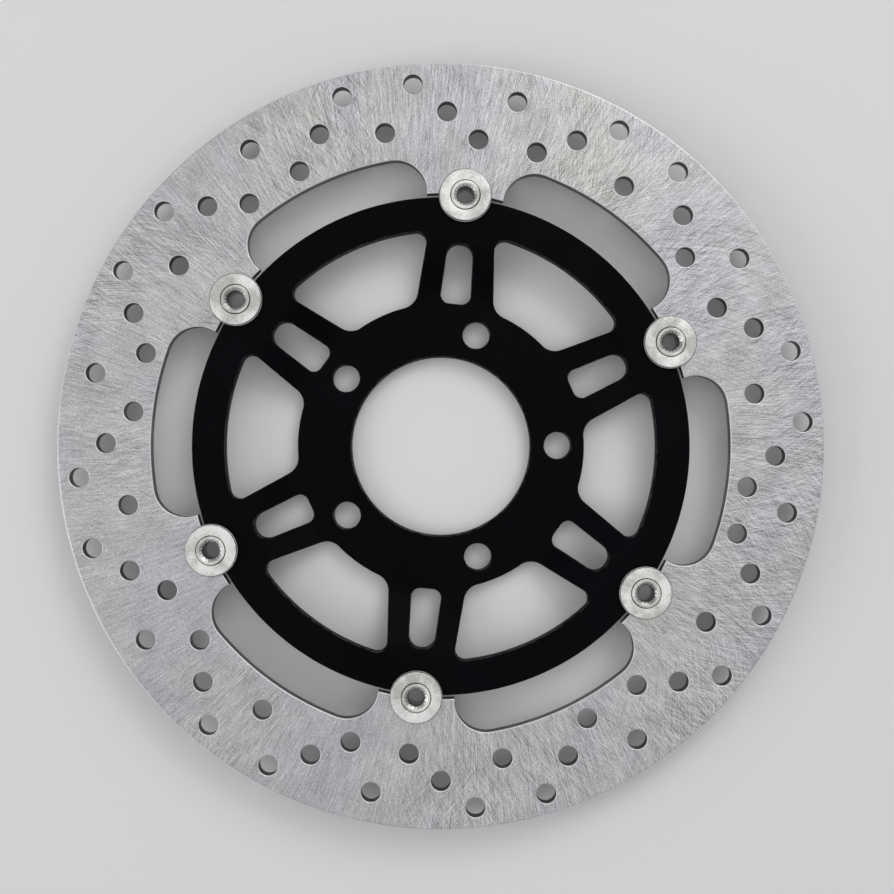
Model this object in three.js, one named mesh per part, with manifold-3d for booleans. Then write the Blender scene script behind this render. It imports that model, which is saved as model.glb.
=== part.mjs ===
// Floating front brake disc of a motorcycle. A drilled steel friction ring is carried on a dished
// aluminium spider by six riveted float buttons. Each button is a tubular bobbin, a wave spring and
// a flat washer. Millimetres, +Z up. The axle line is the Z axis, and z = 0 is the face that bolts
// to the wheel hub.

import * as THREE from 'three';
import { mergeVertices } from 'three/addons/utils/BufferGeometryUtils.js';
import Module from 'manifold-3d';

const wasm = await Module();
wasm.setup();

// Levels along the axle
const HUB_TOP_Z = 6;
const RING_BOTTOM_Z = 11;
const RING_TOP_Z = 16;
const AXIAL_FLOAT = 0.25;
const SPRING_GAP = AXIAL_FLOAT + 0.05;

// Friction ring
const RING_OUTER_R = 145;
const RING_INNER_R = 109.4;
const LUG_TIP_R = 95.4;
const LUG_FILLET_R = 11.9;
const LUG_FILLET_DEG = 15.7;

// Drilling: eight sectors, each mirrored about its middle hole, with five rows of holes
const DRILL_R = 3.7;
const DRILL_SECTORS = 8;
const DRILL_SECTOR_DEG = 45.28;
const DRILL_START_DEG = 9.52;
const DRILL_MIDDLE = { row: 120.1, step: 0 };
const DRILL_PAIRS = [
  { row: 137.0, step: 5.7 },
  { row: 126.4, step: 11.17 },
  { row: 116.7, step: 17.1 },
];
const DRILL_END = { row: 133.2, step: DRILL_SECTOR_DEG / 2 };

// Float buttons
const BUTTON_COUNT = 6;
const BUTTON_PITCH_DEG = 360 / BUTTON_COUNT;
const BUTTON_START_DEG = 24.4;
const BUTTON_CIRCLE_R = 94.95;
const DRUM_R = 7;
const DRUM_CLEARANCE = 0.3;
const FLANGE_R = 9.8;
const FLANGE_THICKNESS = 1.8;
const NECK_R = 5.2;
const LIP_R = 5.8;
const RIVET_HOLE_R = 3.25;
const WASHER_OUTER_R = 9.8;
const WASHER_INNER_R = 5.5;
const WASHER_THICKNESS = 1.2;
const WASHER_CHAMFER = 0.4;
const SPRING_OUTER_R = 9.95;
const SPRING_INNER_R = 7.3;
const SPRING_THICKNESS = 0.4;
const SPRING_WAVE = 0.15;
const SPRING_WAVES = 3;
const STACK_GAP = 0.1;
const LIP_HEIGHT = 0.6;

// Carrier
const CARRIER_OUTER_R = 94;
const BORE_R = 34.5;
const BORE_CHAMFER = 0.6;
const DISH_FOOT_R = 58;
const DISH_TOP_R = 78;
const DISH_FOLD = 1.5;
const BOLT_COUNT = 5;
const BOLT_CIRCLE_R = 45;
const BOLT_HOLE_R = 5.25;
const BOLT_START_DEG = 0.4;
const WINDOW_INNER_R = 55.2;
const WINDOW_OUTER_R = 81.5;
const WINDOW_INNER_FILLET = 7;
const WINDOW_OUTER_FILLET = 3.8;
const ARM_HALF_AT_RIM = 12.5;
const ARM_HALF_AT_HUB = 15.1;
const SLOT_INNER_R = 55.2;
const SLOT_OUTER_R = 77;
const SLOT_HALF_AT_RIM = 4.8;
const SLOT_HALF_AT_HUB = 6;
const SLOT_INNER_FILLET = 3.5;
const SLOT_OUTER_FILLET = 4.6;

// Facets
const RIM_STEP_DEG = 3;
const FILLET_STEPS = 6;
const CORNER_STEPS = 4;
const DRILL_FACETS = 16;
const BOLT_FACETS = 20;
const NOTCH_FACETS = 24;
const BUTTON_FACETS = 20;
const WASHER_FACETS = 24;
const CUT_MARGIN = 4;

const FINISHES = {
  friction_steel: { color: 0xbdbdc0, roughness: 0.34, metalness: 1 },
  black_anodised: { color: 0x0d0d10, roughness: 0.42, metalness: 0.6 },
  rivet_steel: { color: 0xcbc9c4, roughness: 0.3, metalness: 1 },
  washer_steel: { color: 0xd0cdc7, roughness: 0.26, metalness: 1 },
  spring_steel: { color: 0xa9a7a3, roughness: 0.32, metalness: 1 },
};

const radians = THREE.MathUtils.degToRad;

function polar(radius, degrees) {
  return new THREE.Vector2(radius * Math.cos(radians(degrees)), radius * Math.sin(radians(degrees)));
}

// Points along an arc, from one angle to the other, both ends included.
function arcPoints(centre, radius, fromDeg, toDeg, steps) {
  const points = [];
  for (let i = 0; i <= steps; i += 1) {
    points.push(polar(radius, fromDeg + ((toDeg - fromDeg) * i) / steps).add(centre));
  }
  return points;
}

function circlePoints(centre, radius, facets) {
  return arcPoints(centre, radius, 0, 360, facets).slice(0, facets);
}

// A closed outline in which each corner that names a fillet is rounded by it.
function roundedOutline(corners, steps) {
  const points = [];
  corners.forEach((corner, i) => {
    if (!corner.fillet) {
      points.push(corner.at);
      return;
    }
    const before = corners[(i + corners.length - 1) % corners.length].at;
    const after = corners[(i + 1) % corners.length].at;
    const back = before.clone().sub(corner.at).normalize();
    const ahead = after.clone().sub(corner.at).normalize();
    const half = Math.acos(back.dot(ahead)) / 2;
    const middle = back.clone().add(ahead).normalize();
    const centre = corner.at.clone().addScaledVector(middle, corner.fillet / Math.sin(half));
    const start = corner.at.clone().addScaledVector(back, corner.fillet / Math.tan(half)).sub(centre);
    const turn = Math.PI - 2 * half;
    const side = Math.sign(ahead.cross(back)) || 1;
    for (let s = 0; s <= steps; s += 1) {
      const swing = (side * turn * s) / steps;
      points.push(start.clone().rotateAround(new THREE.Vector2(), swing).add(centre));
    }
  });
  return points;
}

function prism(outline, bottomZ, topZ, holes = []) {
  const shape = new THREE.Shape(outline);
  shape.holes = holes.map((hole) => new THREE.Path(hole));
  const geometry = new THREE.ExtrudeGeometry(shape, { depth: topZ - bottomZ, bevelEnabled: false });
  geometry.translate(0, 0, bottomZ);
  return geometry;
}

// A turned piece about Z. The profile is pairs of radius and height, outer side going up.
function turned(profile, facets) {
  const points = profile.map(([radius, height]) => new THREE.Vector2(radius, height));
  points.push(points[0].clone());
  const geometry = new THREE.LatheGeometry(points, facets);
  geometry.rotateX(Math.PI / 2);
  return geometry;
}

function solidOf(geometry) {
  const bare = geometry.clone();
  bare.deleteAttribute('normal');
  bare.deleteAttribute('uv');
  const merged = mergeVertices(bare, 1e-4);
  const vertProperties = new Float32Array(merged.attributes.position.array);
  const triVerts = new Uint32Array(merged.index.array);
  return new wasm.Manifold(new wasm.Mesh({ numProp: 3, vertProperties, triVerts }));
}

function geometryOf(solid) {
  const mesh = solid.getMesh();
  const geometry = new THREE.BufferGeometry();
  geometry.setAttribute('position', new THREE.BufferAttribute(mesh.vertProperties, 3));
  geometry.setIndex(new THREE.BufferAttribute(mesh.triVerts, 1));
  geometry.computeVertexNormals();
  return geometry;
}

function cutAway(geometry, cutters) {
  let solid = solidOf(geometry);
  for (const cutter of cutters) {
    solid = solid.subtract(solidOf(cutter));
  }
  return geometryOf(solid);
}

const buttonAngles = Array.from({ length: BUTTON_COUNT }, (_, i) => BUTTON_START_DEG + BUTTON_PITCH_DEG * i);
const cutBottomZ = -CUT_MARGIN;
const cutTopZ = RING_TOP_Z + CUT_MARGIN;

function roundCutter(centre, radius, facets) {
  return prism(circlePoints(centre, radius, facets), cutBottomZ, cutTopZ);
}

// Half-round seats for the button drums, shared by the ring's lugs and the carrier's rim.
function drumSeats() {
  return buttonAngles.map((angle) =>
    roundCutter(polar(BUTTON_CIRCLE_R, angle), DRUM_R + DRUM_CLEARANCE, NOTCH_FACETS));
}

// One lug of the ring's inner edge: a round fillet in, the tip arc, and a round fillet out.
function lugOutline(axisDeg) {
  const filletCentreR = RING_INNER_R - LUG_FILLET_R;
  const enter = polar(filletCentreR, axisDeg - LUG_FILLET_DEG);
  const leave = polar(filletCentreR, axisDeg + LUG_FILLET_DEG);
  const cosine = (filletCentreR ** 2 + LUG_TIP_R ** 2 - LUG_FILLET_R ** 2) / (2 * filletCentreR * LUG_TIP_R);
  const tipHalfDeg = LUG_FILLET_DEG - THREE.MathUtils.radToDeg(Math.acos(cosine));
  const toTip = polar(LUG_TIP_R, -tipHalfDeg).sub(polar(filletCentreR, -LUG_FILLET_DEG));
  const tipTurn = THREE.MathUtils.radToDeg(Math.atan2(toTip.y, toTip.x));
  const origin = new THREE.Vector2();
  return [
    ...arcPoints(enter, LUG_FILLET_R, axisDeg - LUG_FILLET_DEG, axisDeg + tipTurn, FILLET_STEPS),
    ...arcPoints(origin, LUG_TIP_R, axisDeg - tipHalfDeg, axisDeg + tipHalfDeg, FILLET_STEPS).slice(1, -1),
    ...arcPoints(leave, LUG_FILLET_R, axisDeg - tipTurn, axisDeg + LUG_FILLET_DEG, FILLET_STEPS),
  ];
}

function ringInnerEdge() {
  const origin = new THREE.Vector2();
  return buttonAngles.flatMap((angle) => {
    const from = angle + LUG_FILLET_DEG;
    const to = angle + BUTTON_PITCH_DEG - LUG_FILLET_DEG;
    const steps = Math.ceil((to - from) / RIM_STEP_DEG);
    return [...lugOutline(angle), ...arcPoints(origin, RING_INNER_R, from, to, steps).slice(1, -1)];
  });
}

function drilledHoles() {
  const spots = [];
  for (let sector = 0; sector < DRILL_SECTORS; sector += 1) {
    const middle = DRILL_START_DEG + DRILL_SECTOR_DEG * sector;
    spots.push(polar(DRILL_MIDDLE.row, middle));
    for (const pair of DRILL_PAIRS) {
      spots.push(polar(pair.row, middle - pair.step));
      spots.push(polar(pair.row, middle + pair.step));
    }
    spots.push(polar(DRILL_END.row, middle + DRILL_END.step));
  }
  return spots.map((spot) => circlePoints(spot, DRILL_R, DRILL_FACETS));
}

function frictionRing() {
  const outer = circlePoints(new THREE.Vector2(), RING_OUTER_R, 360 / RIM_STEP_DEG);
  const plate = prism(outer, RING_BOTTOM_Z, RING_TOP_Z, [ringInnerEdge(), ...drilledHoles()]);
  return cutAway(plate, drumSeats());
}

// Half the width of an arm at a distance along it, from the straight taper between its two ends.
function armHalfWidth(distance) {
  const share = (WINDOW_OUTER_R - distance) / (WINDOW_OUTER_R - WINDOW_INNER_R);
  return ARM_HALF_AT_RIM + (ARM_HALF_AT_HUB - ARM_HALF_AT_RIM) * share;
}

// Angle between an arm's middle and its flank, on a circle about the axle.
function flankDeg(radius) {
  return THREE.MathUtils.radToDeg(Math.asin(armHalfWidth(radius) / radius));
}

// The opening between the arm at this angle and the next one.
function windowOutline(armDeg) {
  const outer = flankDeg(WINDOW_OUTER_R);
  const inner = flankDeg(WINDOW_INNER_R);
  const origin = new THREE.Vector2();
  const rimEdge = arcPoints(origin, WINDOW_OUTER_R, armDeg + outer, armDeg + BUTTON_PITCH_DEG - outer, 6);
  const hubEdge = arcPoints(origin, WINDOW_INNER_R, armDeg + BUTTON_PITCH_DEG - inner, armDeg + inner, 3);
  const corners = [...rimEdge, ...hubEdge].map((at) => ({ at, fillet: 0 }));
  corners[0].fillet = WINDOW_OUTER_FILLET;
  corners[rimEdge.length - 1].fillet = WINDOW_OUTER_FILLET;
  corners[rimEdge.length].fillet = WINDOW_INNER_FILLET;
  corners[corners.length - 1].fillet = WINDOW_INNER_FILLET;
  return roundedOutline(corners, CORNER_STEPS);
}

function slotOutline(armDeg) {
  const corners = [
    { at: new THREE.Vector2(SLOT_OUTER_R, -SLOT_HALF_AT_RIM), fillet: SLOT_OUTER_FILLET },
    { at: new THREE.Vector2(SLOT_OUTER_R, SLOT_HALF_AT_RIM), fillet: SLOT_OUTER_FILLET },
    { at: new THREE.Vector2(SLOT_INNER_R, SLOT_HALF_AT_HUB), fillet: SLOT_INNER_FILLET },
    { at: new THREE.Vector2(SLOT_INNER_R, -SLOT_HALF_AT_HUB), fillet: SLOT_INNER_FILLET },
  ];
  const outline = roundedOutline(corners, CORNER_STEPS);
  return outline.map((point) => point.rotateAround(new THREE.Vector2(), radians(armDeg)));
}

function carrier() {
  const blank = turned([
    [BORE_R, BORE_CHAMFER],
    [BORE_R + BORE_CHAMFER, 0],
    [DISH_FOOT_R + DISH_FOLD, 0],
    [DISH_TOP_R + DISH_FOLD, RING_BOTTOM_Z],
    [CARRIER_OUTER_R, RING_BOTTOM_Z],
    [CARRIER_OUTER_R, RING_TOP_Z],
    [DISH_TOP_R, RING_TOP_Z],
    [DISH_FOOT_R, HUB_TOP_Z],
    [BORE_R + BORE_CHAMFER, HUB_TOP_Z],
    [BORE_R, HUB_TOP_Z - BORE_CHAMFER],
  ], 360 / RIM_STEP_DEG);
  const boltHoles = Array.from({ length: BOLT_COUNT }, (_, i) => {
    const angle = BOLT_START_DEG + (360 / BOLT_COUNT) * i;
    return roundCutter(polar(BOLT_CIRCLE_R, angle), BOLT_HOLE_R, BOLT_FACETS);
  });
  const windows = buttonAngles.map((angle) => prism(windowOutline(angle), cutBottomZ, cutTopZ));
  const slots = buttonAngles.map((angle) => prism(slotOutline(angle), cutBottomZ, cutTopZ));
  return cutAway(blank, [...boltHoles, ...windows, ...slots, ...drumSeats()]);
}

const springBottomZ = RING_TOP_Z + SPRING_GAP;
const shoulderZ = springBottomZ + SPRING_THICKNESS + 2 * SPRING_WAVE;
const washerBottomZ = shoulderZ + STACK_GAP;
const washerTopZ = washerBottomZ + WASHER_THICKNESS;
const lipBottomZ = washerTopZ + STACK_GAP;
const lipTopZ = lipBottomZ + LIP_HEIGHT;
const flangeTopZ = RING_BOTTOM_Z - SPRING_GAP;

// Tubular rivet: flange under the ring, drum in the two half-round seats, neck through the flat
// washer, and a rolled lip over it.
function bobbin() {
  const lipRound = LIP_HEIGHT / 2;
  return turned([
    [RIVET_HOLE_R, flangeTopZ - FLANGE_THICKNESS],
    [FLANGE_R, flangeTopZ - FLANGE_THICKNESS],
    [FLANGE_R, flangeTopZ],
    [DRUM_R, flangeTopZ],
    [DRUM_R, shoulderZ],
    [NECK_R, shoulderZ],
    [NECK_R, lipBottomZ],
    [LIP_R, lipBottomZ],
    [LIP_R - lipRound, lipTopZ],
    [RIVET_HOLE_R + lipRound, lipTopZ],
    [RIVET_HOLE_R, lipTopZ - lipRound],
  ], BUTTON_FACETS);
}

function flatWasher() {
  return turned([
    [WASHER_INNER_R, washerBottomZ],
    [WASHER_OUTER_R, washerBottomZ],
    [WASHER_OUTER_R, washerTopZ - WASHER_CHAMFER],
    [WASHER_OUTER_R - WASHER_CHAMFER, washerTopZ],
    [WASHER_INNER_R, washerTopZ],
  ], WASHER_FACETS);
}

function waveSpring() {
  const middleZ = springBottomZ + SPRING_WAVE;
  const geometry = turned([
    [SPRING_INNER_R, middleZ],
    [SPRING_OUTER_R, middleZ],
    [SPRING_OUTER_R, middleZ + SPRING_THICKNESS],
    [SPRING_INNER_R, middleZ + SPRING_THICKNESS],
  ], WASHER_FACETS);
  const position = geometry.attributes.position;
  for (let i = 0; i < position.count; i += 1) {
    const around = Math.atan2(position.getY(i), position.getX(i));
    position.setZ(i, position.getZ(i) + SPRING_WAVE * Math.cos(SPRING_WAVES * around));
  }
  return geometry;
}

function named(name, geometry, finish) {
  const mesh = new THREE.Mesh(geometry, new THREE.MeshStandardMaterial(FINISHES[finish]));
  mesh.name = name;
  return mesh;
}

const disc = new THREE.Group();
disc.add(named('friction_ring', frictionRing(), 'friction_steel'));
disc.add(named('carrier', carrier(), 'black_anodised'));

buttonAngles.forEach((angle, i) => {
  const button = new THREE.Group();
  const centre = polar(BUTTON_CIRCLE_R, angle);
  button.position.set(centre.x, centre.y, 0);
  button.rotation.z = radians(angle);
  button.add(named(`bobbin_${i + 1}`, bobbin(), 'rivet_steel'));
  button.add(named(`wave_spring_${i + 1}`, waveSpring(), 'spring_steel'));
  button.add(named(`flat_washer_${i + 1}`, flatWasher(), 'washer_steel'));
  disc.add(button);
});

export default disc;
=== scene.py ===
"""Looks of a floating motorcycle brake disc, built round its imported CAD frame.

Lengths are metres. Z is the axle, and the hub face lies on z = 0.
"""

from math import acos, atan2, ceil, cos, degrees, pi, radians, sin, tan

import bmesh
import bpy
from mathutils import Matrix, Vector


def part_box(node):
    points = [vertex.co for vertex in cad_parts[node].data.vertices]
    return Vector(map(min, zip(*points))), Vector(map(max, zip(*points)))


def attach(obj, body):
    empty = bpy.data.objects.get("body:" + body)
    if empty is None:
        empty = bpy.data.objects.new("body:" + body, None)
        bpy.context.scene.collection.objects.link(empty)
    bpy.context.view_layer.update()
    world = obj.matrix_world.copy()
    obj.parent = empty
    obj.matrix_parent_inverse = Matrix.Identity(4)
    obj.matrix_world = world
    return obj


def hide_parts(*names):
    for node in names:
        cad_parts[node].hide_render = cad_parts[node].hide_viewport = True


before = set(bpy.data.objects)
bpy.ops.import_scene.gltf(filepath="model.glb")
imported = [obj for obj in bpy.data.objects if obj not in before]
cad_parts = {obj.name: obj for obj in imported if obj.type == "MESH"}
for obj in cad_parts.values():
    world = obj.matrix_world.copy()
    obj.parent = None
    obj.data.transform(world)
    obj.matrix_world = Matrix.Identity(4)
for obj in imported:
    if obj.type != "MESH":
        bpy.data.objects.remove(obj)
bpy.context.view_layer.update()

MM = 0.001

# ---------------------------------------------------------------- sizes read from the frame
RING_LOW, RING_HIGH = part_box("friction_ring")
RING_OUTER_R = RING_HIGH.x
RING_TOP = RING_HIGH.z
RING_BOTTOM = RING_LOW.z
CARRIER_OUTER_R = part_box("carrier")[1].x
BUTTON_COUNT = 6


def node_centre(node):
    low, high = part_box(node)
    return (low + high) / 2


BUTTON_CENTRES = [node_centre(f"bobbin_{i + 1}") for i in range(BUTTON_COUNT)]
BUTTON_CIRCLE_R = sum(c.xy.length for c in BUTTON_CENTRES) / BUTTON_COUNT
BUTTON_START = degrees(atan2(BUTTON_CENTRES[0].y, BUTTON_CENTRES[0].x))
BUTTON_PITCH = 360 / BUTTON_COUNT
BUTTON_ANGLES = [BUTTON_START + BUTTON_PITCH * i for i in range(BUTTON_COUNT)]

# ---------------------------------------------------------------- driving sizes
# Friction ring
RING_INNER_R = 109.4 * MM
LUG_TIP_R = 95.4 * MM
LUG_FILLET_R = 11.9 * MM
LUG_FILLET_DEG = 15.7
RING_OUTER_EDGE = 0.8 * MM
RING_INNER_EDGE = 0.5 * MM
DRILL_R = 3.7 * MM
DRILL_EDGE = 0.45 * MM
DRILL_SECTORS = 8
DRILL_SECTOR_DEG = 45.28
DRILL_START_DEG = 9.52
DRILL_MIDDLE_R = 120.1 * MM
DRILL_PAIRS = [(137.0 * MM, 5.7), (126.4 * MM, 11.17), (116.7 * MM, 17.1)]
DRILL_END_R = 133.2 * MM
GRINDING_LINE_WIDTH = 0.2 * MM

# Carrier
DRUM_SEAT_R = 7.3 * MM
HUB_TOP = 6 * MM
DISH_FOOT_R = 58 * MM
DISH_TOP_R = 78 * MM
DISH_FOLD = 1.5 * MM
FOLD_ROUND = 2.5 * MM
BORE_R = 34.5 * MM
BOLT_COUNT = 5
BOLT_CIRCLE_R = 45 * MM
BOLT_HOLE_R = 5.25 * MM
BOLT_START_DEG = 0.4
WINDOW_INNER_R = 55.2 * MM
WINDOW_OUTER_R = 81.5 * MM
WINDOW_INNER_FILLET = 7 * MM
WINDOW_OUTER_FILLET = 3.8 * MM
FILLET_ROOM = 5.4 * MM
ARM_HALF_AT_RIM = 12.5 * MM
ARM_HALF_AT_HUB = 15.1 * MM
SLOT_INNER_R = 55.2 * MM
SLOT_OUTER_R = 77 * MM
SLOT_HALF_AT_RIM = 4.8 * MM
SLOT_HALF_AT_HUB = 6 * MM
SLOT_INNER_FILLET = 3.5 * MM
SLOT_OUTER_FILLET = 4.6 * MM
CARRIER_EDGE = 0.4 * MM
BORE_EDGE = 0.6 * MM
MESH_PITCH = 2 * MM
SMALLEST_EDGE = 0.002 * MM

# Buttons, in the millimetres of their turned profiles
FLANGE_R = 9.8
FLANGE_THICKNESS = 1.8
DRUM_R = 7.0
NECK_R = 5.2
LIP_R = 5.4
LIP_CREST_R = 4.35
LIP_RISE = 0.35
RIVET_HOLE_R = 3.1
DENTS = 18
DENT_DEPTH = 0.16
DENT_MIDDLE_R = 3.6
DENT_REACH = 0.5
WASHER_OUTER_R = 9.8
WASHER_FACE_R = 9.45
WASHER_LIP_SEAT_R = 5.75
WASHER_HOLE_R = 5.4
WASHER_CHAMFER = 0.3
WASHER_SEAT_DEPTH = 0.6
SPRING_OUTER_R = 9.95
SPRING_INNER_R = 7.35
SPRING_WAVE = 0.15
SPRING_WAVES = 3

# Camera and floor
CAMERA_HEIGHT = 450 * MM
SEEN_ACROSS = 337.3 * MM
CAMERA_X = 2.36 * MM
CAMERA_Y = -0.28 * MM
SENSOR_WIDTH = 36
FLOOR_HALF = 15
FLOOR_DROP = 0.05 * MM

# Facets
EDGE_STEPS = 4
CORNER_STEPS = 10
LUG_FILLET_STEPS = 20
LUG_TIP_STEPS = 4
SEAT_STEPS = 24
LUG_GAP_STEPS = 24
CARRIER_RIM_STEPS = 36
WINDOW_ARC_STEPS = 14
RIM_STEPS = 360
BORE_STEPS = 180
DRILL_STEPS = 40
BOLT_HOLE_STEPS = 48
BUTTON_STEPS = 96


# ---------------------------------------------------------------- outlines
def polar(radius, angle_deg):
    return Vector((radius * cos(radians(angle_deg)), radius * sin(radians(angle_deg))))


def arc(centre, radius, start_deg, end_deg, steps):
    """Points of an arc, both ends included."""
    turn = (end_deg - start_deg) / steps
    return [centre + polar(radius, start_deg + turn * i) for i in range(steps + 1)]


def circle(centre, radius, steps):
    return arc(centre, radius, 0, 360, steps)[:-1]


def rounded(corners, steps=CORNER_STEPS):
    """A closed outline from (point, fillet) corners, each rounded by its own fillet."""
    points = []
    for i, (corner, fillet) in enumerate(corners):
        if not fillet:
            points.append(corner)
            continue
        back = (corners[i - 1][0] - corner).normalized()
        ahead = (corners[(i + 1) % len(corners)][0] - corner).normalized()
        half = acos(max(-1.0, min(1.0, back.dot(ahead)))) / 2
        centre = corner + (back + ahead).normalized() * fillet / sin(half)
        start = corner + back * fillet / tan(half) - centre
        side = 1 if ahead.x * back.y - ahead.y * back.x > 0 else -1
        turn = side * (pi - 2 * half)
        for s in range(steps + 1):
            swing = Matrix.Rotation(turn * s / steps, 2)
            points.append(centre + swing @ start)
    return points


def turned_outline(points, angle_deg):
    swing = Matrix.Rotation(radians(angle_deg), 2)
    return [swing @ p for p in points]


def signed_area(points):
    return sum(a.x * b.y - b.x * a.y for a, b in zip(points, points[1:] + points[:1])) / 2


def grown(points, distance):
    """The outline moved outwards by a distance, with its corners kept mitred."""
    side = 1 if signed_area(points) > 0 else -1
    moved = []
    for i, point in enumerate(points):
        into = (point - points[i - 1]).normalized()
        out = (points[(i + 1) % len(points)] - point).normalized()
        normal_in = Vector((into.y, -into.x)) * side
        normal_out = Vector((out.y, -out.x)) * side
        normal = (normal_in + normal_out).normalized()
        moved.append(point + normal * distance / max(0.3, normal.dot(normal_in)))
    return moved


def seat_cut(angle_deg, host_r):
    """Centre of the drum seat that a button cuts into a circle, and the angles where the cut ends."""
    centre = polar(BUTTON_CIRCLE_R, angle_deg)
    along = (BUTTON_CIRCLE_R**2 + host_r**2 - DRUM_SEAT_R**2) / (2 * BUTTON_CIRCLE_R * host_r)
    half = degrees(acos(along))
    reach = polar(host_r, -half) - Vector((BUTTON_CIRCLE_R, 0))
    lean = degrees(atan2(reach.y, reach.x))
    return centre, half, lean


def lug_outline(angle_deg):
    """One lug of the ring's inner edge, with the drum seat in its tip."""
    fillet_r = RING_INNER_R - LUG_FILLET_R
    cosine = (fillet_r**2 + LUG_TIP_R**2 - LUG_FILLET_R**2) / (2 * fillet_r * LUG_TIP_R)
    tip_half = LUG_FILLET_DEG - degrees(acos(cosine))
    to_tip = polar(LUG_TIP_R, -tip_half) - polar(fillet_r, -LUG_FILLET_DEG)
    tip_turn = degrees(atan2(to_tip.y, to_tip.x))
    seat, seat_half, lean = seat_cut(angle_deg, LUG_TIP_R)
    origin = Vector((0, 0))
    enter = polar(fillet_r, angle_deg - LUG_FILLET_DEG)
    leave = polar(fillet_r, angle_deg + LUG_FILLET_DEG)
    stretches = [
        (enter, LUG_FILLET_R, -LUG_FILLET_DEG, tip_turn, LUG_FILLET_STEPS),
        (origin, LUG_TIP_R, -tip_half, -seat_half, LUG_TIP_STEPS),
        (seat, DRUM_SEAT_R, lean, -lean, SEAT_STEPS),
        (origin, LUG_TIP_R, seat_half, tip_half, LUG_TIP_STEPS),
        (leave, LUG_FILLET_R, -tip_turn, LUG_FILLET_DEG, LUG_FILLET_STEPS),
    ]
    points = [enter + polar(LUG_FILLET_R, angle_deg - LUG_FILLET_DEG)]
    for centre, radius, start, end, steps in stretches:
        points += arc(centre, radius, angle_deg + start, angle_deg + end, steps)[1:]
    return points


def ring_inner_edge():
    points = []
    origin = Vector((0, 0))
    for angle in BUTTON_ANGLES:
        points += lug_outline(angle)
        start = angle + LUG_FILLET_DEG
        end = angle + BUTTON_PITCH - LUG_FILLET_DEG
        points += arc(origin, RING_INNER_R, start, end, LUG_GAP_STEPS)[1:-1]
    return points


def drilled_spots():
    spots = []
    for sector in range(DRILL_SECTORS):
        middle = DRILL_START_DEG + DRILL_SECTOR_DEG * sector
        spots.append(polar(DRILL_MIDDLE_R, middle))
        for row_r, step_deg in DRILL_PAIRS:
            spots.append(polar(row_r, middle - step_deg))
            spots.append(polar(row_r, middle + step_deg))
        spots.append(polar(DRILL_END_R, middle + DRILL_SECTOR_DEG / 2))
    return spots


def arm_half_width(distance):
    share = (WINDOW_OUTER_R - distance) / (WINDOW_OUTER_R - WINDOW_INNER_R)
    return ARM_HALF_AT_RIM + (ARM_HALF_AT_HUB - ARM_HALF_AT_RIM) * share


def flank_deg(radius):
    return degrees(acos((radius**2 - arm_half_width(radius) ** 2) ** 0.5 / radius))


def window_arc(radius, start_deg, end_deg, fillet):
    """An arc of a window as corners, with room for the fillets at both its ends."""
    room = degrees(FILLET_ROOM / radius) * (1 if end_deg > start_deg else -1)
    points = arc(Vector((0, 0)), radius, start_deg + room, end_deg - room, WINDOW_ARC_STEPS)
    ends = [(polar(radius, start_deg), fillet), (polar(radius, end_deg), fillet)]
    return ends[:1] + [(p, 0) for p in points] + ends[1:]


def window_outline(arm_deg):
    outer = flank_deg(WINDOW_OUTER_R)
    inner = flank_deg(WINDOW_INNER_R)
    far = arm_deg + BUTTON_PITCH
    rim = window_arc(WINDOW_OUTER_R, arm_deg + outer, far - outer, WINDOW_OUTER_FILLET)
    hub = window_arc(WINDOW_INNER_R, far - inner, arm_deg + inner, WINDOW_INNER_FILLET)
    return rounded(rim + hub)


def slot_outline(arm_deg):
    corners = [
        (Vector((SLOT_OUTER_R, -SLOT_HALF_AT_RIM)), SLOT_OUTER_FILLET),
        (Vector((SLOT_OUTER_R, SLOT_HALF_AT_RIM)), SLOT_OUTER_FILLET),
        (Vector((SLOT_INNER_R, SLOT_HALF_AT_HUB)), SLOT_INNER_FILLET),
        (Vector((SLOT_INNER_R, -SLOT_HALF_AT_HUB)), SLOT_INNER_FILLET),
    ]
    return turned_outline(rounded(corners), arm_deg)


def carrier_outer_edge():
    points = []
    origin = Vector((0, 0))
    for angle in BUTTON_ANGLES:
        seat, half, lean = seat_cut(angle, CARRIER_OUTER_R)
        start = angle + half
        end = angle + BUTTON_PITCH - half
        points += arc(seat, DRUM_SEAT_R, angle + lean, angle - lean - 360, SEAT_STEPS)
        points += arc(origin, CARRIER_OUTER_R, start, end, CARRIER_RIM_STEPS)[1:-1]
    return points


# ---------------------------------------------------------------- mesh work
def plate_mesh():
    """An empty mesh, with layers that tell its rounded edges, cut walls and broad faces apart."""
    bm = bmesh.new()
    bm.verts.layers.float.new("edge")
    bm.verts.layers.float.new("wall")
    bm.faces.layers.int.new("broad")
    return bm


def loop_of_edges(bm, points, height, roundness, wall):
    edge_layer = bm.verts.layers.float["edge"]
    wall_layer = bm.verts.layers.float["wall"]
    verts = [bm.verts.new((p.x, p.y, height)) for p in points]
    for vert in verts:
        vert[edge_layer] = roundness
        vert[wall_layer] = wall
    return [bm.edges.new((verts[i - 1], verts[i])) for i in range(len(verts))]


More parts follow.
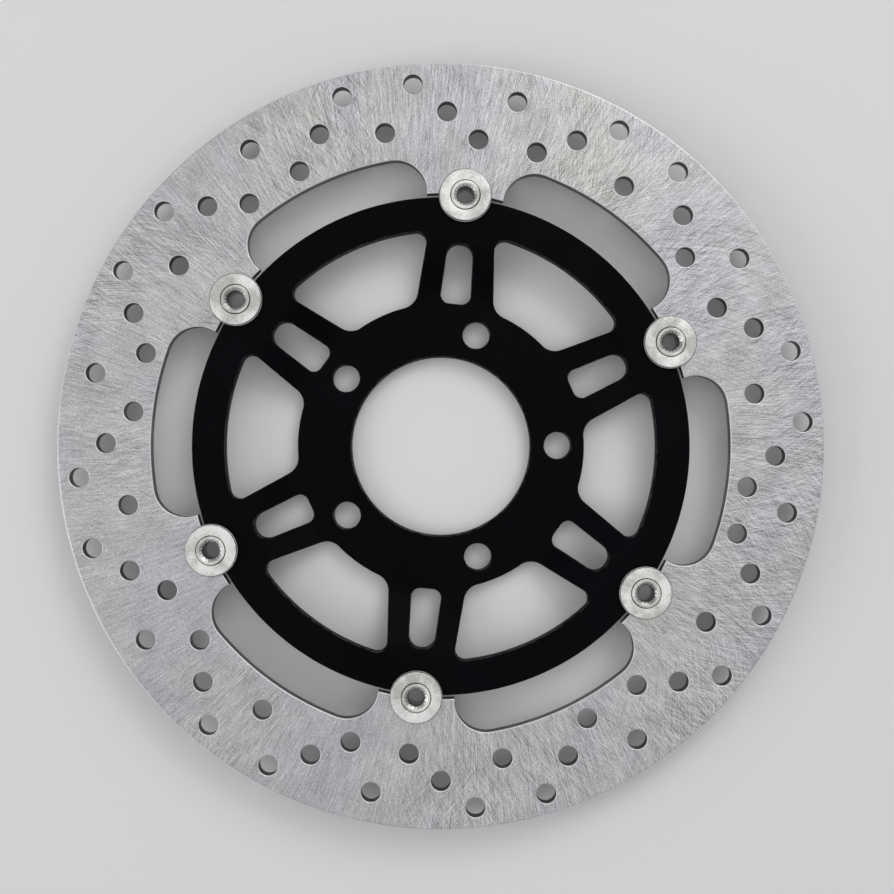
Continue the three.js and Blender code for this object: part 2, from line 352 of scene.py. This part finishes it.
def walled_outline(bm, points, top, bottom, edge, opening):
    """A wall down an outline, with rounded edges where it meets both faces. Returns its end loops."""
    side = 1 if opening else -1
    turns = [i / EDGE_STEPS * pi / 2 for i in range(EDGE_STEPS + 1)]
    # The third number peaks halfway round the rounding. It is stored in the edge layer and sets where
    # edges get a painted highlight.
    fall = [(edge * (1 - cos(t)), edge * (1 - sin(t)), sin(2 * t)) for t in turns]
    levels = [(top - drop, inset, roundness) for drop, inset, roundness in fall]
    levels += [(bottom + drop, inset, roundness) for drop, inset, roundness in reversed(fall)]
    loops = []
    for i, (height, inset, roundness) in enumerate(levels):
        wall = 1.0 if i in (EDGE_STEPS, EDGE_STEPS + 1) else 0.0
        loops.append(loop_of_edges(bm, grown(points, side * inset), height, roundness, wall))
    for upper, lower in zip(loops, loops[1:]):
        bmesh.ops.bridge_loops(bm, edges=upper + lower)
    return loops[0], loops[-1]


def faced_plate(bm, walls):
    """Fills the top and the bottom face between the end loops of its walls."""
    broad = bm.faces.layers.int["broad"]
    for end in (0, 1):
        edges = [e for wall in walls for e in wall[end]]
        filled = bmesh.ops.triangle_fill(bm, edges=edges, use_beauty=True, use_dissolve=False)
        for item in filled["geom"]:
            if isinstance(item, bmesh.types.BMFace):
                item[broad] = 1


def shade_plate(bm):
    """Smooth rounded edges and walls, with each broad face kept apart from its rounded edges."""
    broad = bm.faces.layers.int["broad"]
    for edge in bm.edges:
        edge.smooth = len({face[broad] for face in edge.link_faces}) == 1


def shade_turned(bm, sharp_deg=40):
    for edge in bm.edges:
        edge.smooth = edge.calc_face_angle(0) < radians(sharp_deg)


def finish_piece(name, bm, material, body, node):
    bmesh.ops.recalc_face_normals(bm, faces=bm.faces)
    for face in bm.faces:
        face.smooth = True
    mesh = bpy.data.meshes.new(name)
    bm.to_mesh(mesh)
    bm.free()
    mesh.materials.append(material)
    piece = bpy.data.objects.new(name, mesh)
    bpy.context.scene.collection.objects.link(piece)
    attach(piece, body)
    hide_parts(node)


# ---------------------------------------------------------------- materials
class Finish:
    """A node material, written as short calls that each return an output socket."""

    def __init__(self, name, **shader):
        self.material = bpy.data.materials.new(name)
        self.material.use_nodes = True
        self.nodes = self.material.node_tree.nodes
        self.links = self.material.node_tree.links
        self.shader = self.nodes["Principled BSDF"]
        for socket, value in shader.items():
            self.shader.inputs[socket.replace("_", " ")].default_value = value
        self.place = self.nodes.new("ShaderNodeTexCoord").outputs["Object"]

    def put(self, socket, value):
        if isinstance(value, bpy.types.NodeSocket):
            self.links.new(value, socket)
        else:
            socket.default_value = value

    def math(self, operation, a, b=0.0, c=0.0):
        node = self.nodes.new("ShaderNodeMath")
        node.operation = operation
        for socket, value in zip(node.inputs, (a, b, c)):
            self.put(socket, value)
        return node.outputs[0]

    def centred(self, value, gain):
        """A noise value spread out round zero."""
        return self.math("MULTIPLY", self.math("SUBTRACT", value, 0.5), gain)

    def vector(self, operation, a, b=(0, 0, 0), scale=None):
        node = self.nodes.new("ShaderNodeVectorMath")
        node.operation = operation
        self.put(node.inputs[0], a)
        self.put(node.inputs[1], b)
        if scale is not None:
            self.put(node.inputs["Scale"], scale)
        return node.outputs["Value" if operation == "LENGTH" else "Vector"]

    def combine(self, x, y, z):
        node = self.nodes.new("ShaderNodeCombineXYZ")
        for socket, value in zip(node.inputs, (x, y, z)):
            self.put(socket, value)
        return node.outputs[0]

    def turn(self, vector, angle):
        node = self.nodes.new("ShaderNodeVectorRotate")
        node.rotation_type = "Z_AXIS"
        self.put(node.inputs["Vector"], vector)
        self.put(node.inputs["Angle"], angle)
        return node.outputs[0]

    def noise(self, vector, scale, detail=2.0, roughness=0.5):
        node = self.nodes.new("ShaderNodeTexNoise")
        self.put(node.inputs["Vector"], vector)
        node.inputs["Scale"].default_value = scale
        node.inputs["Detail"].default_value = detail
        node.inputs["Roughness"].default_value = roughness
        return node.outputs["Fac"]

    def span(self, value, low, high, to_low=0.0, to_high=1.0):
        node = self.nodes.new("ShaderNodeMapRange")
        for socket, number in zip(node.inputs, (value, low, high, to_low, to_high)):
            self.put(socket, number)
        return node.outputs[0]

    def mix(self, share, a, b):
        node = self.nodes.new("ShaderNodeMix")
        for socket, value in zip((node.inputs[0], node.inputs[2], node.inputs[3]), (share, a, b)):
            self.put(socket, value)
        return node.outputs[0]

    def blend(self, share, a, b):
        node = self.nodes.new("ShaderNodeMix")
        node.data_type = "RGBA"
        for socket, value in zip((node.inputs[0], node.inputs[6], node.inputs[7]), (share, a, b)):
            self.put(socket, value)
        return node.outputs[2]

    def attribute(self, name):
        node = self.nodes.new("ShaderNodeAttribute")
        node.attribute_name = name
        return node.outputs["Fac"]

    def bump(self, height, strength, distance):
        node = self.nodes.new("ShaderNodeBump")
        node.inputs["Strength"].default_value = strength
        node.inputs["Distance"].default_value = distance
        self.put(node.inputs["Height"], height)
        return node.outputs[0]

    def use(self, colour=None, roughness=None, normal=None):
        for socket, value in (("Base Color", colour), ("Roughness", roughness), ("Normal", normal)):
            if value is not None:
                self.put(self.shader.inputs[socket], value)
        return self.material


def grinding_lines(finish, slant_deg, length):
    """Fine lines across the ring, leaning from the radius by an angle at mid band."""
    mid_r = (RING_OUTER_R + RING_INNER_R) / 2
    flat = finish.vector("MULTIPLY", finish.place, (1, 1, 0))
    radius = finish.vector("LENGTH", flat)
    lean = finish.math("MULTIPLY", radius, tan(radians(slant_deg)) / mid_r)
    around = finish.turn(finish.vector("NORMALIZE", flat), lean)
    spread = finish.vector("SCALE", around, scale=mid_r / GRINDING_LINE_WIDTH)
    along = finish.math("MULTIPLY", radius, 1 / length)
    lines = finish.vector("ADD", spread, finish.combine(0.0, 0.0, along))
    return finish.noise(lines, 1.0, 2.0, 0.5)


def friction_steel():
    """Ground stainless steel: fine lines about along the radius, crossed in places by slanted ones, with
    a painted highlight on its rounded edges and its walls coloured darker.
    """
    finish = Finish("friction_steel", Metallic=1.0)
    patch = finish.span(finish.noise(finish.place, 24, 2.0, 0.5), 0.42, 0.58)
    other_place = finish.vector("ADD", finish.place, (0.3, 0.1, 0))
    other_patch = finish.span(finish.noise(other_place, 22, 2.0, 0.5), 0.42, 0.6)
    along = finish.centred(grinding_lines(finish, 5, 8 * MM), 2.0)
    slanted = finish.centred(grinding_lines(finish, -24, 7 * MM), 1.9)
    crossing = finish.centred(grinding_lines(finish, 42, 7 * MM), 1.9)
    crossed = finish.math("ADD", finish.math("MULTIPLY", slanted, patch), along)
    lines = finish.math("ADD", finish.math("MULTIPLY", crossing, other_patch), crossed)
    bite = finish.span(finish.noise(finish.place, 11, 2.0, 0.5), 0.4, 0.6, 0.6, 1.05)
    cloud = finish.noise(finish.place, 70, 2.0, 0.5)
    ground = finish.span(cloud, 0.3, 0.7, 0.48, 0.66)
    grain = finish.centred(finish.noise(finish.place, 2400, 2.0, 0.5), 1.1)
    tone = finish.math("ADD", finish.math("MULTIPLY", lines, bite), finish.math("ADD", ground, grain))
    warmth = finish.span(finish.noise(finish.place, 30, 2.0, 0.5), 0.4, 0.6)
    dark = finish.blend(warmth, (0.18, 0.182, 0.194, 1), (0.198, 0.191, 0.183, 1))
    light = finish.blend(warmth, (0.74, 0.74, 0.77, 1), (0.77, 0.755, 0.74, 1))
    eased = finish.attribute("edge")
    wall = finish.attribute("wall")
    face = finish.blend(tone, dark, light)
    # Painted highlight: the rounded edges are coloured near white, brightest halfway round each
    # rounding.
    colour = finish.blend(finish.span(eased, 0, 1, 0, 0.9), face, (0.93, 0.93, 0.93, 1))
    # The straight walls of the outlines are coloured much darker than the ground face.
    cut = finish.blend(cloud, (0.1, 0.098, 0.095, 1), (0.3, 0.295, 0.29, 1))
    colour = finish.blend(wall, colour, cut)
    rough = finish.mix(finish.math("MAXIMUM", eased, wall), finish.span(tone, 0.1, 0.9, 0.38, 0.46), 0.6)
    return finish.use(colour, rough, finish.bump(tone, 0.3, 0.006 * MM))


def black_anodised():
    """Satin black anodising, with a fine blasted grain and a painted highlight, broken into dashes, that
    makes its edges a little brighter.
    """
    finish = Finish("black_anodised", Metallic=0.0, Specular_IOR_Level=0.036)
    grain = finish.noise(finish.place, 2600, 2.0, 0.6)
    cloud = finish.noise(finish.place, 22, 3.0, 0.5)
    share = finish.span(cloud, 0.35, 0.65)
    black = finish.blend(share, (0.0012, 0.001, 0.002, 1), (0.0022, 0.0019, 0.0033, 1))
    chips = finish.noise(finish.place, 420, 3.0, 0.6)
    # Painted highlight: the rounded edges are coloured grey in dashes, where reflections of the lights
    # would show.
    edge_highlight_reach = finish.span(finish.attribute("edge"), 0.4, 1)
    painted_edge_highlight = finish.math("MULTIPLY", edge_highlight_reach, finish.span(chips, 0.4, 0.62))
    colour = finish.blend(painted_edge_highlight, black, (0.07, 0.072, 0.078, 1))
    satin = finish.span(grain, 0.3, 0.7, 0.34, 0.44)
    roughness = finish.math("ADD", satin, finish.span(cloud, 0.4, 0.6, 0, 0.06))
    return finish.use(colour, roughness, finish.bump(grain, 0.12, 0.03 * MM))


def pressed_steel(name, dark, light, low_rough, high_rough):
    """Small pressed or turned parts: tumbled, a little stained, with edges painted pale as a highlight
    and painted shade in marked recesses and rims.
    """
    finish = Finish(name, Metallic=1.0)
    peel = finish.noise(finish.place, 620, 2.0, 0.5)
    grain = finish.noise(finish.place, 1600, 2.0, 0.6)
    stain = finish.noise(finish.place, 140, 3.0, 0.5)
    speckle = finish.span(grain, 0.3, 0.7, -0.35, 0.35)
    mottle = finish.math("ADD", finish.span(stain, 0.36, 0.64), speckle)
    eased = finish.attribute("edge")
    # Painted highlight: marked edges are coloured near white.
    colour = finish.blend(eased, finish.blend(mottle, dark, light), (0.96, 0.955, 0.94, 1))
    smear = finish.span(finish.noise(finish.place, 900, 3.0, 0.6), 0.3, 0.5)
    painted_shade_share = finish.math("MULTIPLY", finish.attribute("painted_shade"), smear)
    # Painted shade: marked recesses and rims are coloured near black, broken up by noise.
    colour = finish.blend(painted_shade_share, colour, (0.02, 0.017, 0.014, 1))
    rough = finish.mix(eased, finish.span(grain, 0.3, 0.7, low_rough, high_rough), 0.6)
    height = finish.math("ADD", peel, finish.math("MULTIPLY", grain, 0.3))
    return finish.use(colour, rough, finish.bump(height, 0.35, 0.05 * MM))


# ---------------------------------------------------------------- friction ring
def make_friction_ring(material):
    bm = plate_mesh()
    span = (RING_TOP, RING_BOTTOM)
    outer = circle(Vector((0, 0)), RING_OUTER_R, RIM_STEPS)
    walls = [walled_outline(bm, outer, *span, RING_OUTER_EDGE, opening=False)]
    walls.append(walled_outline(bm, ring_inner_edge(), *span, RING_INNER_EDGE, opening=True))
    for spot in drilled_spots():
        hole = circle(spot, DRILL_R, DRILL_STEPS)
        walls.append(walled_outline(bm, hole, *span, DRILL_EDGE, opening=True))
    faced_plate(bm, walls)
    shade_plate(bm)
    finish_piece("friction_ring_visual", bm, material, "friction_ring", "friction_ring")


# ---------------------------------------------------------------- carrier
def eased_ramp(distance):
    """A ramp that starts at zero, with its first bend rounded."""
    if distance <= -FOLD_ROUND:
        return 0.0
    if distance >= FOLD_ROUND:
        return distance
    return (distance + FOLD_ROUND) ** 2 / (4 * FOLD_ROUND)


def dish_height(radius, foot_r, top_r, low, high):
    slope = (high - low) / (top_r - foot_r)
    return low + slope * (eased_ramp(radius - foot_r) - eased_ramp(radius - top_r))


def dish(bm):
    """Bends a flat plate, bottom on z = 0 and top on the hub's thickness, to the carrier's dish."""
    for vert in bm.verts:
        radius = vert.co.xy.length
        share = vert.co.z / HUB_TOP
        low = dish_height(radius, DISH_FOOT_R + DISH_FOLD, DISH_TOP_R + DISH_FOLD, 0.0, RING_BOTTOM)
        high = dish_height(radius, DISH_FOOT_R, DISH_TOP_R, HUB_TOP, RING_TOP)
        vert.co.z = low + share * (high - low)


def slice_arms(bm):
    """Cuts the plate into small cells where it will bend, so that the bends come out smooth."""
    inside = DISH_FOOT_R - 2 * FOLD_ROUND
    reach = DISH_TOP_R + DISH_FOLD + 2 * FOLD_ROUND
    faces = [f for f in bm.faces if reaches_band(f, inside, reach)]
    edges = dict.fromkeys(e for f in faces for e in f.edges)
    verts = dict.fromkeys(v for f in faces for v in f.verts)
    geom = faces + list(edges) + list(verts)
    count = ceil(reach / MESH_PITCH)
    for axis in (Vector((1, 0, 0)), Vector((0, 1, 0))):
        for i in range(-count, count + 1):
            spot = axis * i * MESH_PITCH
            cut = bmesh.ops.bisect_plane(bm, geom=geom, dist=1e-6, plane_co=spot, plane_no=axis)
            geom = cut["geom"]
    bmesh.ops.dissolve_degenerate(bm, dist=SMALLEST_EDGE, edges=bm.edges)


def reaches_band(face, inside, reach):
    radii = [v.co.xy.length for v in face.verts]
    return max(radii) > inside and min(radii) < reach


def make_carrier(material):
    bm = plate_mesh()
    span = (HUB_TOP, 0.0)
    bore = circle(Vector((0, 0)), BORE_R, BORE_STEPS)
    walls = [walled_outline(bm, carrier_outer_edge(), *span, CARRIER_EDGE, opening=False)]
    walls.append(walled_outline(bm, bore, *span, BORE_EDGE, opening=True))
    for i in range(BOLT_COUNT):
        spot = polar(BOLT_CIRCLE_R, BOLT_START_DEG + 360 / BOLT_COUNT * i)
        hole = circle(spot, BOLT_HOLE_R, BOLT_HOLE_STEPS)
        walls.append(walled_outline(bm, hole, *span, CARRIER_EDGE, opening=True))
    for angle in BUTTON_ANGLES:
        walls.append(walled_outline(bm, window_outline(angle), *span, CARRIER_EDGE, opening=True))
        walls.append(walled_outline(bm, slot_outline(angle), *span, CARRIER_EDGE, opening=True))
    faced_plate(bm, walls)
    slice_arms(bm)
    dish(bm)
    shade_plate(bm)
    finish_piece("carrier_visual", bm, material, "carrier", "carrier")


# ---------------------------------------------------------------- buttons
def spun(profile, centre, steps=BUTTON_STEPS):
    """A turned piece from a closed profile of (radius, height) points, about a vertical axis."""
    bm = bmesh.new()
    verts = [bm.verts.new((centre.x + p.x, centre.y, p.y)) for p in profile]
    edges = [bm.edges.new((verts[i - 1], verts[i])) for i in range(len(verts))]
    bmesh.ops.spin(
        bm, geom=verts + edges, cent=(centre.x, centre.y, 0), axis=(0, 0, 1), angle=2 * pi,
        steps=steps, use_merge=True, use_duplicate=False,
    )
    bmesh.ops.remove_doubles(bm, verts=bm.verts, dist=1e-7)
    return bm


def profile_of(rows, steps=3):
    return rounded([(Vector((r * MM, z * MM)), f * MM) for r, z, f in rows], steps)


def make_button(index, materials):
    centre = BUTTON_CENTRES[index]
    number = index + 1
    body = f"button_{number}"
    make_bobbin(centre, number, body, materials["rivet"])
    make_washer(centre, number, body, materials["washer"])
    make_spring(centre, number, body, materials["spring"])


def make_bobbin(centre, number, body, material):
    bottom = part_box(f"bobbin_{number}")[0].z / MM
    washer_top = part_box(f"flat_washer_{number}")[1].z / MM
    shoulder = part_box(f"wave_spring_{number}")[1].z / MM
    flange = [
        (RIVET_HOLE_R, bottom, 0.3),
        (FLANGE_R, bottom, 0.5),
        (FLANGE_R, bottom + FLANGE_THICKNESS, 0.3),
    ]
    drum_and_neck = [
        (DRUM_R, bottom + FLANGE_THICKNESS, 0.2),
        (DRUM_R, shoulder, 0.2),
        (NECK_R, shoulder, 0.1),
        (NECK_R, washer_top - 0.7, 0.15),
    ]
    rolled_lip = [
        (LIP_R + 0.05, washer_top - 0.1, 0.2),
        (LIP_R, washer_top + LIP_RISE, 0.22),
        (LIP_CREST_R, washer_top + LIP_RISE, 0.12),
    ]
    punched_funnel = [
        (4.1, washer_top + 0.2, 0),
        (3.85, washer_top + 0.05, 0),
        (3.6, washer_top - 0.1, 0),
        (3.4, washer_top - 0.25, 0),
        (RIVET_HOLE_R, washer_top - 0.6, 0.15),
    ]
    profile = profile_of(flange + drum_and_neck + rolled_lip + punched_funnel)
    bm = spun(profile, centre)
    punch_lip(bm, centre, washer_top)
    shade_turned(bm)
    node = f"bobbin_{number}"
    finish_piece(f"{node}_visual", bm, material, body, node)


def punch_lip(bm, centre, washer_top):
    """Small radial dents that the swaging punch leaves inside the lip, with painted shade in them and in
    the rivet's bore.
    """
    painted_shade = bm.verts.layers.float.new("painted_shade")
    for vert in bm.verts:
        offset = vert.co.xy - centre.xy
        radius = offset.length / MM
        if vert.co.z > (washer_top - 1.5) * MM and radius < LIP_CREST_R + 0.25:
            wave = max(0.0, cos(DENTS * atan2(offset.y, offset.x)))
            fade = max(0.0, 1 - abs(radius - DENT_MIDDLE_R) / DENT_REACH)
            vert.co.z -= DENT_DEPTH * MM * wave * fade
            # Painted shade: full in the rivet's bore, and following the depth of each dent.
            vert[painted_shade] = 1.0 if radius < RIVET_HOLE_R + 0.2 else wave * fade


def make_washer(centre, number, body, material):
    low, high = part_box(f"flat_washer_{number}")
    bottom, top = low.z / MM, high.z / MM
    profile = profile_of([
        (WASHER_HOLE_R, bottom, 0.1),
        (WASHER_OUTER_R, bottom, 0.3),
        (WASHER_OUTER_R, top - WASHER_CHAMFER, 0.1),
        (WASHER_FACE_R, top, 0.1),
        (WASHER_LIP_SEAT_R, top, 0.08),
        (WASHER_HOLE_R, top - WASHER_SEAT_DEPTH, 0.1),
    ])
    bm = spun(profile, centre)
    edge = bm.verts.layers.float.new("edge")
    painted_shade = bm.verts.layers.float.new("painted_shade")
    for vert in bm.verts:
        radius = (vert.co.xy - centre.xy).length / MM
        on_rim = radius > WASHER_OUTER_R - 0.1
        on_top = vert.co.z > (top - 0.2) * MM
        # The top chamfer is marked for a painted highlight, the outer rim for painted shade.
        vert[edge] = 1.0 if radius > WASHER_FACE_R + 0.01 and on_top and not on_rim else 0.0
        vert[painted_shade] = 0.9 if on_rim else 0.0
    shade_turned(bm)
    node = f"flat_washer_{number}"
    finish_piece(f"{node}_visual", bm, material, body, node)


def make_spring(centre, number, body, material):
    low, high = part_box(f"wave_spring_{number}")
    bottom, top = low.z / MM + SPRING_WAVE, high.z / MM - SPRING_WAVE
    profile = profile_of([
        (SPRING_INNER_R, bottom, 0.08),
        (SPRING_OUTER_R, bottom, 0.08),
        (SPRING_OUTER_R, top, 0.08),
        (SPRING_INNER_R, top, 0.08),
    ])
    bm = spun(profile, centre)
    lead = atan2(centre.y, centre.x)
    for vert in bm.verts:
        offset = vert.co.xy - centre.xy
        turn = atan2(offset.y, offset.x) - lead
        vert.co.z += SPRING_WAVE * MM * cos(SPRING_WAVES * turn)
    shade_turned(bm)
    node = f"wave_spring_{number}"
    finish_piece(f"{node}_visual", bm, material, body, node)


# ---------------------------------------------------------------- studio
def add_camera():
    camera = bpy.data.objects.new("camera", bpy.data.cameras.new("camera"))
    bpy.context.scene.collection.objects.link(camera)
    bpy.context.scene.camera = camera
    camera.data.sensor_width = SENSOR_WIDTH
    camera.data.lens = SENSOR_WIDTH * CAMERA_HEIGHT / SEEN_ACROSS
    camera.location = (CAMERA_X, CAMERA_Y, RING_TOP + CAMERA_HEIGHT)
    camera.data.clip_start = 0.01


def add_light(name, location, width, power):
    """A square soft panel that faces the hub."""
    light = bpy.data.lights.new(name, "AREA")
    light.size = width
    light.energy = power
    lamp = bpy.data.objects.new(name, light)
    bpy.context.scene.collection.objects.link(lamp)
    lamp.location = location
    lamp.rotation_euler = Vector(location).to_track_quat("Z", "Y").to_euler()


def add_floor():
    bm = bmesh.new()
    bmesh.ops.create_grid(bm, x_segments=1, y_segments=1, size=FLOOR_HALF)
    mesh = bpy.data.meshes.new("floor")
    bm.to_mesh(mesh)
    bm.free()
    mesh.transform(Matrix.Translation((0, 0, -FLOOR_DROP)))
    floor = bpy.data.objects.new("floor", mesh)
    bpy.context.scene.collection.objects.link(floor)
    finish = Finish("floor", Roughness=0.9, Specular_IOR_Level=0.1)
    shade = finish.noise(finish.place, 3)
    colour = finish.blend(shade, (0.8, 0.8, 0.8, 1), (0.83, 0.83, 0.83, 1))
    mesh.materials.append(finish.use(colour))


def add_studio():
    world = bpy.data.worlds.new("studio")
    world.use_nodes = True
    background = world.node_tree.nodes["Background"]
    background.inputs["Color"].default_value = (0.96, 0.98, 1, 1)
    background.inputs["Strength"].default_value = 0.4
    bpy.context.scene.world = world
    bpy.context.scene.view_settings.view_transform = "Standard"
    add_light("overhead_panel", (0.15, 0.2, 1.7), 2.5, 9.7)
    add_light("key_softbox", (0.65, 1.1, 1.15), 0.8, 6.2)
    add_light("left_panel", (-1.3, -0.3, 0.85), 0.8, 4)


add_camera()
make_friction_ring(friction_steel())
make_carrier(black_anodised())
button_finishes = {
    "rivet": pressed_steel(
        "rivet_steel", (0.46, 0.452, 0.43, 1), (0.84, 0.832, 0.804, 1), 0.3, 0.42
    ),
    "washer": pressed_steel(
        "washer_steel", (0.5, 0.492, 0.466, 1), (0.88, 0.872, 0.848, 1), 0.34, 0.46
    ),
    # The spring is coloured darker than the washer, as painted shade under it.
    "spring": pressed_steel(
        "spring_steel", (0.36, 0.352, 0.34, 1), (0.56, 0.55, 0.53, 1), 0.28, 0.4
    ),
}
for index in range(BUTTON_COUNT):
    make_button(index, button_finishes)
add_floor()
add_studio()
